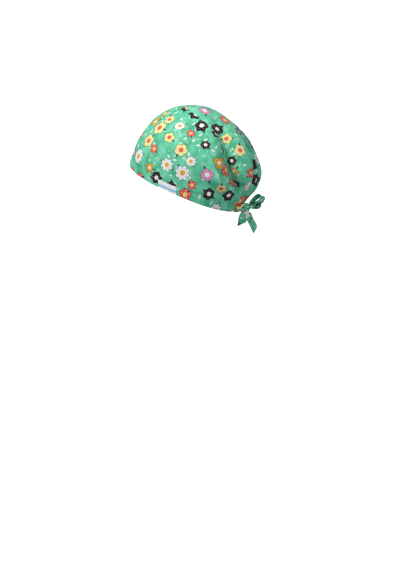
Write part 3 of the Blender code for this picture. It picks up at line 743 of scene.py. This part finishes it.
# %% Height of the folds
def fold_height(across, back, points):
    """How far the cloth stands out from the plain crown, in metres."""
    rise = 1.0 - np.hypot(across, back)
    angle = np.abs(np.arctan2(across, -back))
    steps = np.linspace(0, 1, FOLD_STEPS)
    total = np.zeros(points.shape[:-1])
    for line, widths, depths, (front_lean, back_lean) in FOLD_LINES:
        distance, share, behind = to_line(points, line)
        reach = FOLD_WIDTH * np.interp(share, steps, widths) * np.where(behind, back_lean, front_lean)
        valley = crease(distance, reach * CREASE_WIDER) * CREASE_DEEPER
        depth = FOLD_DEPTH * np.interp(share, steps, depths)
        total += depth * np.where(depth < 0, valley, bump(distance, reach))
    left = points.copy()
    left[..., 0] = np.abs(left[..., 0])
    distance, share, _ = to_line(left, SEAM_ON_CROWN)
    total -= SEAM_DIP * bump(distance, SEAM_DIP_WIDTH)
    seam_metres = share * SEAM_METRES
    total += PUCKER_DEPTH * np.sin(seam_metres * 2 * math.pi / PUCKER_LENGTH) * bump(distance, PUCKER_REACH)
    for direction, phase in RUMPLES:
        total += RUMPLE_DEPTH / RUMPLE_WAVES ** 0.5 * np.sin(points @ direction + phase)
    total *= smooth(*FOLD_FADE, rise)
    from_nape = (math.pi - angle) / (math.pi - BAND_END)
    waves = np.cos(from_nape * math.pi * GATHER_COUNT / 2)
    window = (1 - smooth(*GATHER_FADE, from_nape)) * (1 - smooth(0.0, GATHER_RISE, rise))
    edge = plain_crown(np.sin(angle) * np.sign(across), -np.cos(angle))
    above = np.linalg.norm(points - edge, axis=-1)
    puckers = np.sin(angle * PUCKER_TURNS) * bump(above - BAND_HEIGHT, PUCKER_REACH)
    total += PUCKER_DEPTH * puckers * smooth(BAND_HEIGHT, BAND_HEIGHT + PUFF_RISE, above)
    tuck = (GAP + BAND_CLOTH) * (1 - smooth(BAND_HEIGHT - BAND_LAP, BAND_HEIGHT + PUFF_RISE, above))
    return total + GATHER_DEPTH * waves * window - tuck * smooth(*TUCK_FADE, from_nape)


def crown(across, back):
    """Points of the crown with its folds."""
    points = plain_crown(across, back)
    normal = normals_of(plain_crown, across, back)
    return points + normal * fold_height(across, back, points)[..., None]


SEAM_METRES = lengths_along(SEAM_ON_CROWN)[-1]
print("seam, mm on each side:", round(SEAM_METRES * 1000))

# %% [markdown]
# ## Cloth panels
# Each panel starts as a plain grid, one of Blender's primitives. Its corners are moved onto the
# crown, so the cloth has even rows along the seam and down to the hem. The UV map is unwrapped from
# the folded surface and scaled to metres, as if the panel were flat again on the cutting table, so
# the print keeps its size. Solidify then gives the cloth its thickness, inwards.

# %% A grid on the crown
CLOTH_SEEN = 0.0009
UNWRAP_STEPS = 4


def read_uv(piece):
    """The UV place of each face corner."""
    uv = np.empty(2 * len(piece.data.loops), np.float32)
    piece.data.uv_layers.active.uv.foreach_get("vector", uv)
    return uv.reshape(-1, 2)


def write_uv(piece, uv):
    """Give each face corner its UV place."""
    piece.data.uv_layers.active.uv.foreach_set("vector", uv.astype(np.float32).reshape(-1))


def flat_map(piece, method="CONFORMAL"):
    """Unwrap a piece and scale its UV map so that one unit is one metre of cloth."""
    bpy.ops.object.mode_set(mode="EDIT")
    bpy.ops.mesh.select_all(action="SELECT")
    bpy.ops.uv.unwrap(method=method, iterations=UNWRAP_STEPS, margin=0.0)
    bpy.ops.object.mode_set(mode="OBJECT")
    uv = read_uv(piece)
    areas = np.empty(len(piece.data.polygons), np.float32)
    piece.data.polygons.foreach_get("area", areas)
    corners = uv.reshape(-1, 4, 2)
    first, second = corners[:, 2] - corners[:, 0], corners[:, 3] - corners[:, 1]
    flat = np.abs(first[:, 0] * second[:, 1] - first[:, 1] * second[:, 0]) / 2
    write_uv(piece, uv * math.sqrt(areas.sum() / flat.sum()))
    return float(areas.sum())


# %% A sheet of cloth
def apply_modifier(piece, kind, **settings):
    """Add a modifier to the piece and apply it at once."""
    bpy.ops.object.select_all(action="DESELECT")
    bpy.context.view_layer.objects.active = piece
    piece.select_set(True)
    modifier = piece.modifiers.new(kind.title(), kind)
    for setting, value in settings.items():
        setattr(modifier, setting, value)
    bpy.ops.object.modifier_apply(modifier=modifier.name)


def cloth_grid(name, points, thickness, materials, flat_places=None):
    """A grid with its corners at rows of points, a flat UV map and a thickness behind its face."""
    rows, columns = points.shape[:2]
    bpy.ops.mesh.primitive_grid_add(x_subdivisions=columns - 1, y_subdivisions=rows - 1, size=1.0)
    piece = bpy.context.object
    piece.name = name
    piece.data.name = name
    piece.data.vertices.foreach_set("co", np.ascontiguousarray(points, np.float32).reshape(-1))
    piece.data.update()
    for material in materials:
        piece.data.materials.append(material)
    area = flat_map(piece, "MINIMUM_STRETCH" if poplin_back in materials else "CONFORMAL")
    corners = np.empty(len(piece.data.loops), np.int32)
    piece.data.loops.foreach_get("vertex_index", corners)
    if flat_places is None:
        flat_places = np.empty((len(piece.data.vertices), 2))
        flat_places[corners] = read_uv(piece)
    else:
        write_uv(piece, flat_places.reshape(-1, 2)[corners])
    apply_modifier(
        piece, "SOLIDIFY", thickness=thickness, offset=-1.0, use_even_offset=False,
        material_offset=len(materials) - 1,
    )
    bpy.ops.object.shade_smooth_by_angle(angle=math.radians(50))
    return piece, flat_places.reshape(*points.shape[:2], 2)


def stand_for(piece, node):
    """The piece rides on the cap's one body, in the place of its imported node."""
    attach(piece, "root")
    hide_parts(node)


# %% Front and back panels
FRONT_COLUMNS = 340
FRONT_ROWS = 138
BACK_COLUMNS = 160
BACK_ROWS = 230
SEAM_UNDER = 0.0008
SEAM_TUCK = 0.0011
HEM_CROWDING = 0.8


def hem_angle(share):
    """Angle round the head of the front panel's columns at the hem, share -1 to 1."""
    end = seam(np.array(SEAM_END), SEAM_GAP / 2)
    full = math.atan2(end[0], -end[1])
    return np.sign(share) * full * np.abs(share) ** HEM_CROWDING


def front_places():
    """Rows of places on the disk from the seam down to the hem."""
    inner = seam(np.linspace(-SEAM_END, SEAM_END, FRONT_COLUMNS + 1), SEAM_GAP / 2)
    outer = np.stack(on_disk(hem_angle(np.linspace(-1, 1, FRONT_COLUMNS + 1))), axis=-1)
    down = np.linspace(0, 1, FRONT_ROWS + 1)[:, None, None]
    return inner + (outer - inner) * down


def back_places():
    """The patch between the seam's halves and the nape's hem, its edge under the front panel."""
    clear = SEAM_UNDER
    top = seam(np.linspace(-SEAM_SHOULDER, SEAM_SHOULDER, BACK_COLUMNS + 1), clear)[None]
    sides = np.linspace(SEAM_SHOULDER, 1, BACK_ROWS + 1)
    right, left = seam(-sides, clear)[:, None], seam(sides, clear)[:, None]
    u = np.linspace(0, 1, BACK_COLUMNS + 1)[None, :, None]
    v = np.linspace(0, 1, BACK_ROWS + 1)[:, None, None]
    corner = math.atan2(left[-1, 0, 0], -left[-1, 0, 1])
    hem = np.stack(on_disk(-corner + (2 * corner - 2 * math.pi) * u[..., 0]), axis=-1)
    corners = ((1 - u) * (1 - v) * top[:, :1] + u * (1 - v) * top[:, -1:]
               + (1 - u) * v * hem[:, :1] + u * v * hem[:, -1:])
    return (1 - v) * top + v * hem + (1 - u) * right + u * left - corners


front_disk = front_places()[::-1]
front_grid = crown(*np.moveaxis(front_disk, -1, 0))
back_disk = np.moveaxis(back_places(), -1, 0)
sewn_edge = np.zeros(back_disk.shape[1:] + (1,))
sewn_edge[0] = sewn_edge[:, [0, -1]] = 1
back_grid = crown(*back_disk) - normals_of(plain_crown, *back_disk) * sewn_edge * SEAM_TUCK
both_faces = (poplin_face, poplin_back)
front_panel, front_uv = cloth_grid("front_cloth", front_grid, CLOTH_SEEN, both_faces)
back_panel, _ = cloth_grid("back_cloth", back_grid, CLOTH_SEEN, both_faces)
stand_for(front_panel, "front_panel")
stand_for(back_panel, "back_panel")

# %% [markdown]
# ## Hem band and label
# The hem band is a strip of the same cloth folded over the lower edge of the front panel and
# topstitched. A sheet of section points runs down its outer leg, round the fold and up the inner
# leg. Small ripples come from the thread that pulls the layers together. The label is a stiff woven
# patch, so it is a flat sheet with soft corners, sewn on all four sides.

# %% Hem band
BAND_COLUMNS = 420
BAND_INSIDE = 0.009
BAND_SOURCE_ROWS = 56
HEM_PROBE = 0.03
BAND_PUCKER = 0.00022
BAND_PUCKER_REACH = 0.8 * BAND_HEIGHT
BAND_INNER_ROWS = 7
BAND_FOLD_ROWS = 6
BAND_OUTER_ROWS = 15
STITCH_LINE = 0.0115
STITCH_DIP = 0.0003
STITCH_DIP_REACH = 0.0016


def rise_for(angles, height):
    """The share of the disk's radius that is this high above the hem, measured on the cloth."""
    probe = plain_crown(*on_disk(angles)) - plain_crown(*on_disk(angles, 1 - HEM_PROBE))
    return HEM_PROBE * height / np.linalg.norm(probe, axis=-1)


def up_the_cloth(angles, height):
    """Crown points and normals this far above the hem."""
    place = on_disk(angles, 1 - rise_for(angles, height))
    return crown(*place), normals_of(crown, *place)


def hem_down(angles):
    """The way down the cloth at the hem."""
    low, _ = up_the_cloth(angles, 0.0)
    high, _ = up_the_cloth(angles, BAND_HEIGHT / 4)
    return unit(low - high)


def band_lift(angles, height):
    """How far the band's outer leg stands off the crown: pressed in by the stitches and rippled."""
    dip = STITCH_DIP * bump(height - STITCH_LINE, STITCH_DIP_REACH)
    ripple = np.sin(angles * PUCKER_TURNS)
    return GAP + BAND_CLOTH - dip + BAND_PUCKER * ripple * bump(height - STITCH_LINE, BAND_PUCKER_REACH)


def band_sections():
    """Rows of points from the inner leg's top, round the fold, to the outer leg's top, with heights."""
    angles = hem_angle(np.linspace(-1, 1, BAND_COLUMNS + 1))
    down = hem_down(angles)
    far = GAP + BAND_CLOTH
    rows, heights = [], []
    for height in np.linspace(BAND_INSIDE, 0, BAND_INNER_ROWS):
        point, normal = up_the_cloth(angles, height)
        rows.append(point - normal * (CLOTH + far))
        heights.append(-height - CLOTH - 2 * far)
    edge, normal = up_the_cloth(angles, 0.0)
    middle = edge - normal * CLOTH / 2
    for turn in np.linspace(0, math.pi, BAND_FOLD_ROWS + 2)[1:-1]:
        out = normal * (CLOTH / 2 + far) * -math.cos(turn)
        rows.append(middle + out + down * far * math.sin(turn))
        heights.append((turn / math.pi - 1) * (CLOTH + 2 * far))
    for height in np.linspace(0, BAND_HEIGHT, BAND_OUTER_ROWS):
        point, normal = up_the_cloth(angles, height)
        rows.append(point + normal * band_lift(angles, height)[:, None])
        heights.append(height)
    return np.array(rows), np.array(heights)


# %% The print carried on over the band
def print_of_panel(heights):
    """UV places that carry the front panel's print on over the band, straight on past the fold."""
    low = front_disk[:BAND_SOURCE_ROWS]
    around = np.arctan2(low[..., 0], -low[..., 1])
    above = (1 - np.hypot(low[..., 0], low[..., 1])) / rise_for(around, 1.0)
    angles = hem_angle(np.linspace(-1, 1, BAND_COLUMNS + 1))
    columns = range(low.shape[1])

    def at_level(level):
        turn, u, v = (
            [np.interp(level, above[:, column], values[:BAND_SOURCE_ROWS, column]) for column in columns]
            for values in (around, front_uv[..., 0], front_uv[..., 1])
        )
        return np.stack((np.interp(angles, turn, u), np.interp(angles, turn, v)), axis=-1)

    hem = at_level(0.0)
    return np.array([
        at_level(height) if height >= 0 else 2 * hem - at_level(-height) for height in heights
    ])


band_points, band_heights = band_sections()
hem_band, _ = cloth_grid(
    "hem_band_cloth", band_points, CLOTH_SEEN, (poplin_face,), print_of_panel(band_heights)
)
stand_for(hem_band, "hem_band")

# %% Label
LABEL_LENGTH = 0.033
LABEL_HEIGHT = 0.0132
LABEL_THICK = 0.0008
LABEL_ANGLE = math.radians(79)
LABEL_PROBE = 0.05
LABEL_COLUMNS = 66
LABEL_ROWS = 28
LABEL_EDGE_DIP = 0.00045
LABEL_EDGE = 0.0012
LABEL_CORNER = 0.0012

probe, _ = up_the_cloth(LABEL_ANGLE + np.array((-LABEL_PROBE, LABEL_PROBE)), LABEL_HEIGHT / 2)
label_half = LABEL_LENGTH * LABEL_PROBE / np.linalg.norm(probe[1] - probe[0])
label_lift = GAP + BAND_CLOTH + GAP + LABEL_THICK


def label_points():
    """Rows of points up the band, with the corners rounded and the sewn edge pressed down."""
    rows = []
    for v in np.linspace(-1, 1, LABEL_ROWS + 1):
        u = np.linspace(-1, 1, LABEL_COLUMNS + 1)
        from_end = (1 - abs(v)) * LABEL_HEIGHT / 2
        corner = max(LABEL_CORNER - from_end, 0)
        trim = LABEL_CORNER - math.sqrt(max(LABEL_CORNER ** 2 - corner ** 2, 0))
        u_in = u * (1 - trim / (LABEL_LENGTH / 2))
        point, normal = up_the_cloth(LABEL_ANGLE + label_half * u_in, LABEL_HEIGHT * (v + 1) / 2)
        from_side = (1 - np.abs(u)) * LABEL_LENGTH / 2
        edge = np.minimum(from_side, from_end)
        dip = LABEL_EDGE_DIP * bump(edge - LABEL_EDGE, LABEL_EDGE * 0.8)
        rows.append(point + normal * (label_lift - dip)[:, None])
    return np.array(rows)


label, _ = cloth_grid("woven_label", label_points(), LABEL_THICK, (satin,))
stand_for(label, "label")
# How far up the label each corner is, for the stripe
heights = np.tile(np.repeat(np.linspace(0, LABEL_HEIGHT, LABEL_ROWS + 1), LABEL_COLUMNS + 1), 2)
up_label = label.data.attributes.new("up_label", "FLOAT", "POINT")
up_label.data.foreach_set("value", heights.astype(np.float32)[:len(label.data.vertices)])

# %% [markdown]
# ## Bow
# The ties are flat folded strips. Each is drawn as a line with the way it faces and its width along
# it, and a section that is a little crowned. Near the knot the strips are pinched into small
# pleats. The knot is a squarish ball of cloth with one strip wrapped across it.

# %% Sizes of the bow
TIE_WIDTH = 0.0115
TIE_CLOTH = 0.0018
TIE_LIFT = 0.002
KNOT_SIZE = (0.013, 0.0115, 0.0155)
KNOT_ABOVE_HEM = 0.0155
KNOT_PULL = 0.07
LOOP_LENGTH = 0.0315
LOOP_OPENING = 0.014
LOOP_START = 0.075
LOOP_NECK = 0.48
LOOP_FULL = 0.22
TAIL_LENGTH = 0.0385
TAIL_SLANT = 0.35
TIE_PLACES = (0.09, 0.45)
TIE_FOLD = 0.95
TIE_NECK = 0.62
TIE_LEAN = (0.2, 0.0, 0.1)
TIE_END = (0.3, 0.0, 0.2)
TIE_END_FACE = (0.5, 0.85, -0.05)

# Columns: way each points, way it opens, then length and opening as shares
LOOPS = {
    "loop_left": (0.18, 0.84, 0.55, -0.50, -0.39, 0.77, 1.10, 1.00),
    "loop_right": (-0.84, 0.50, 0.14, 0.30, 0.05, 0.95, 0.90, 0.85),
}

# Columns: place from the knot as shares of TAIL_LENGTH, way the cloth faces, width as a share
TAILS = {
    "tail_left": (
        (0.06, -0.01, -0.08, 0.90, 0.42, 0.00, 0.75),
        (0.17, -0.02, -0.24, 0.95, 0.30, 0.05, 1.15),
        (0.32, -0.09, -0.45, 0.97, 0.20, 0.15, 1.20),
        (0.43, -0.12, -0.72, 0.94, 0.15, 0.25, 1.00),
    ),
    "tail_right": (
        (-0.06, 0.02, -0.08, 0.85, 0.50, 0.00, 0.65),
        (-0.05, 0.09, -0.42, 0.92, 0.38, 0.00, 0.85),
        (0.00, 0.26, -0.72, 0.95, 0.30, 0.00, 0.90),
        (0.06, 0.40, -0.97, 0.95, 0.20, -0.10, 0.85),
    ),
}

# %% Strips of cloth
STRIP_STEPS = 72
STRIP_COLUMNS = 16
PLEAT_DEPTH = 0.0005
PLEAT_REACH = 0.012
STRIP_CROWN = 0.25
STRIP_EDGE = 0.25
STRIP_SHELL = 0.6
PLEATS = 1.5
SLANT_FROM = 0.75

# Where in the printed cloth each strip was cut, in metres
PRINT_CUTS = {
    "loop_left": (0.131, 0.022),
    "loop_right": (0.212, 0.047),
    "tail_left": (0.331, 0.064),
    "tail_right": (0.418, 0.013),
    "tie_left": (0.507, 0.092),
    "tie_right": (0.613, 0.031),
    "knot": (0.742, 0.055),
}


def knot_centre():
    """The knot sits on the gathers at the middle of the nape."""
    point, normal = up_the_cloth(np.array([math.pi]), KNOT_ABOVE_HEM)
    return point[0] + normal[0] * (KNOT_SIZE[1] / 2 + GATHER_DEPTH + GAP)


def strip_points(line, face, widths, slant=0.0):
    """Rows of points across a strip that follows a line."""
    run = unit(np.gradient(line, axis=0))
    across = unit(np.cross(run, face))
    up = np.cross(across, run)
    from_knot = np.linalg.norm(line - knot, axis=1)
    pinch = PLEAT_DEPTH * (1 - smooth(0, PLEAT_REACH, from_knot - KNOT_SIZE[0] / 2))
    ends = slant * smooth(SLANT_FROM, 1.0, np.linspace(0, 1, len(line)))
    rows = []
    for place in np.linspace(-1, 1, STRIP_COLUMNS + 1):
        middle = line + across * (widths / 2 * place)[:, None] + run * (ends * widths * place)[:, None]
        height = TIE_CLOTH * (0.5 + STRIP_CROWN * (1 - place * place) - STRIP_EDGE * place ** 8)
        pleat = pinch * math.cos(2 * math.pi * PLEATS * place)
        rows.append(middle + up * (height + pleat)[:, None])
    return np.array(rows)


def shift_print(piece, place):
    """Move the print on a piece, as if it were cut from another part of the cloth."""
    write_uv(piece, read_uv(piece) + place)


def bow_piece(name, node, points, thickness=TIE_CLOTH * STRIP_SHELL):
    """A finished strip of the bow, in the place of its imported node."""
    piece, _ = cloth_grid(name, points, thickness, (poplin_face,))
    shift_print(piece, PRINT_CUTS[node])
    stand_for(piece, node)


def along_rows(rows):
    """Table rows as a smooth line of STRIP_STEPS points."""
    return curve_through(rows, np.linspace(0, len(rows) - 1, STRIP_STEPS))


# %% Loops, tails and the ties' ends
knot = knot_centre()
for name, row in LOOPS.items():
    along, opening = unit(row[0:3]), np.array(row[3:6])
    opening = unit(opening - along * (along @ opening))
    turn = np.linspace(LOOP_START, 1 - LOOP_START, 2 * STRIP_STEPS)
    reach = np.sin(math.pi * turn) * LOOP_LENGTH * row[6]
    spread = np.sin(2 * math.pi * turn) * LOOP_OPENING / 2 * row[7]
    line = knot + reach[:, None] * along + spread[:, None] * opening
    face = np.cross(np.gradient(line, axis=0), np.cross(along, opening))
    fullness = smooth(0.0, LOOP_FULL, np.minimum(turn, 1 - turn))
    widths = TIE_WIDTH * (LOOP_NECK + (1 - LOOP_NECK) * fullness)
    bow_piece(name + "_cloth", name, strip_points(line, face, widths))
for name, rows in TAILS.items():
    fine = along_rows(rows)[STRIP_STEPS // 7:]
    line = knot + fine[:, 0:3] * TAIL_LENGTH
    points = strip_points(line, fine[:, 3:6], fine[:, 6] * TIE_WIDTH, TAIL_SLANT)
    bow_piece(name + "_cloth", name, points)

# %% Ends of the ties, folded up from the band
for name, side in (("tie_left", 1), ("tie_right", -1)):
    angles = BAND_END + (math.pi - BAND_END) * np.array(TIE_PLACES)
    fold = BAND_HEIGHT * TIE_FOLD
    low, high = (
        on_disk(angles, 1 - rise_for(angles, height)) for height in (BAND_HEIGHT / 2, fold)
    )
    outward = normals_of(plain_crown, *low)
    start = plain_crown(*low)[0] + outward[0] * (GAP + TIE_CLOTH / 2 + TIE_LIFT / 2)
    bend = plain_crown(*high)[1] + outward[1] * (GATHER_DEPTH + TIE_CLOTH + TIE_LIFT)
    end = knot + np.array(TIE_END) * KNOT_SIZE
    faces = (outward[0], unit(outward[1] + TIE_LEAN), unit(TIE_END_FACE))
    widths = (fold, fold, TIE_WIDTH * TIE_NECK)
    fine = along_rows(np.column_stack(((start, bend, end), faces, widths)))
    fine[:, [0, 3]] *= side
    bow_piece(name + "_cloth", name, strip_points(fine[:, 0:3], fine[:, 3:6], fine[:, 6]))

# %% Knot
KNOT_SEGMENTS = 64
KNOT_RINGS = 40
KNOT_WRAP = 0.05
KNOT_CREASES = 0.02
KNOT_WAVES = 1.5
KNOT_SLOPE = 0.25
KNOT_SQUARENESS = 0.25
KNOT_WRAP_EDGE = 0.45
KNOT_WRAP_STEEPNESS = 6
KNOT_CREASE_TURNS = 14

bpy.ops.mesh.primitive_uv_sphere_add(segments=KNOT_SEGMENTS, ring_count=KNOT_RINGS, radius=1.0)
knot_piece = bpy.context.object
knot_piece.name = "knot_cloth"
knot_piece.data.name = "knot_cloth"
for vertex in knot_piece.data.vertices:
    x, y, z = vertex.co
    level = z + KNOT_SLOPE * x
    turn = 1 - KNOT_PULL * math.cos(2 * math.pi * KNOT_WAVES * level)
    square = max(abs(x), abs(y), abs(z)) ** -KNOT_SQUARENESS
    wrap = KNOT_WRAP * math.tanh(KNOT_WRAP_STEEPNESS * (KNOT_WRAP_EDGE - abs(level)))
    creases = KNOT_CREASES * math.cos(KNOT_CREASE_TURNS * level + 2 * math.sin(3 * x))
    share = turn * square + wrap + creases - KNOT_WRAP
    vertex.co = knot + np.array(KNOT_SIZE) / 2 * (x, y, z) * share
bpy.ops.object.shade_smooth()
knot_piece.data.materials.append(poplin_face)
flat_map(knot_piece)
shift_print(knot_piece, PRINT_CUTS["knot"])
stand_for(knot_piece, "knot")

# %% [markdown]
# ## Stitches
# A lockstitch shows as a row of short threads, each sunk a little at both ends. One stitch is
# modelled as a small round-ended thread and copied along its line into one mesh, because hundreds
# of single objects would slow the scene down.

# %% One stitch and a row of them
STITCH_LENGTH = 0.0024
STITCH_THICK = 0.00042
STITCH_GAP = 0.0010
STITCH_SINK = 0.45

bpy.ops.mesh.primitive_uv_sphere_add(segments=8, ring_count=6, radius=0.5)
one_stitch = bpy.context.object
stitch_points = np.array([vertex.co for vertex in one_stitch.data.vertices])
stitch_faces = [tuple(face.vertices) for face in one_stitch.data.polygons]
stitch_points = stitch_points[:, [2, 0, 1]] * (STITCH_LENGTH, STITCH_THICK, STITCH_THICK)
bpy.data.objects.remove(one_stitch)


def between(place, lengths, values):
    """The value at a place along a line."""
    return np.array([np.interp(place, lengths, column) for column in values.T])


def sew(name, lines, material):
    """Stitches along lines of points, each line given with its normals."""
    points, faces = [], []
    for line, normal in lines:
        lengths = lengths_along(line)
        count = max(int(lengths[-1] / (STITCH_LENGTH + STITCH_GAP)), 1)
        for middle in (np.arange(count) + 0.5) * lengths[-1] / count:
            back, centre, front = (
                between(middle + shift, lengths, line)
                for shift in (-STITCH_LENGTH / 2, 0, STITCH_LENGTH / 2)
            )
            out = unit(between(middle, lengths, normal))
            run = unit(front - back)
            turn = np.array((run, np.cross(out, run), out))
            start = len(points) * len(stitch_points)
            points.append(stitch_points @ turn + centre + out * STITCH_THICK * (0.5 - STITCH_SINK))
            faces.extend(tuple(start + corner for corner in face) for face in stitch_faces)
    mesh = bpy.data.meshes.new(name)
    mesh.from_pydata(np.vstack(points).tolist(), [], faces)
    mesh.shade_smooth()
    mesh.materials.append(material)
    row = bpy.data.objects.new(name, mesh)
    bpy.context.scene.collection.objects.link(row)
    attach(row, "root")
    print(name, "stitches:", len(points))
    return row


# %% Stitches of the hem band and the label
band_angles = hem_angle(np.linspace(-0.995, 0.995, 900))
line, normal = up_the_cloth(band_angles, STITCH_LINE)
line = line + normal * band_lift(band_angles, STITCH_LINE)[:, None]
hem_stitches = sew("hem_stitches", [(line, normal)], mint_thread)

side_inset = LABEL_EDGE / LABEL_LENGTH * 2
rise_inset = LABEL_EDGE / LABEL_HEIGHT
span = np.linspace(-1 + side_inset, 1 - side_inset, 60)
climb = np.linspace(rise_inset, 1 - rise_inset, 30)
runs = [(span, climb[0]), (span, climb[-1])]
runs += [(np.full_like(climb, span[0]), climb), (np.full_like(climb, span[-1]), climb)]
sides = []
for across_label, up in runs:
    point, normal = up_the_cloth(LABEL_ANGLE + label_half * across_label, LABEL_HEIGHT * up)
    sides.append((point + normal * (label_lift - LABEL_EDGE_DIP), normal))
label_stitches = sew("label_stitches", sides, white_thread)
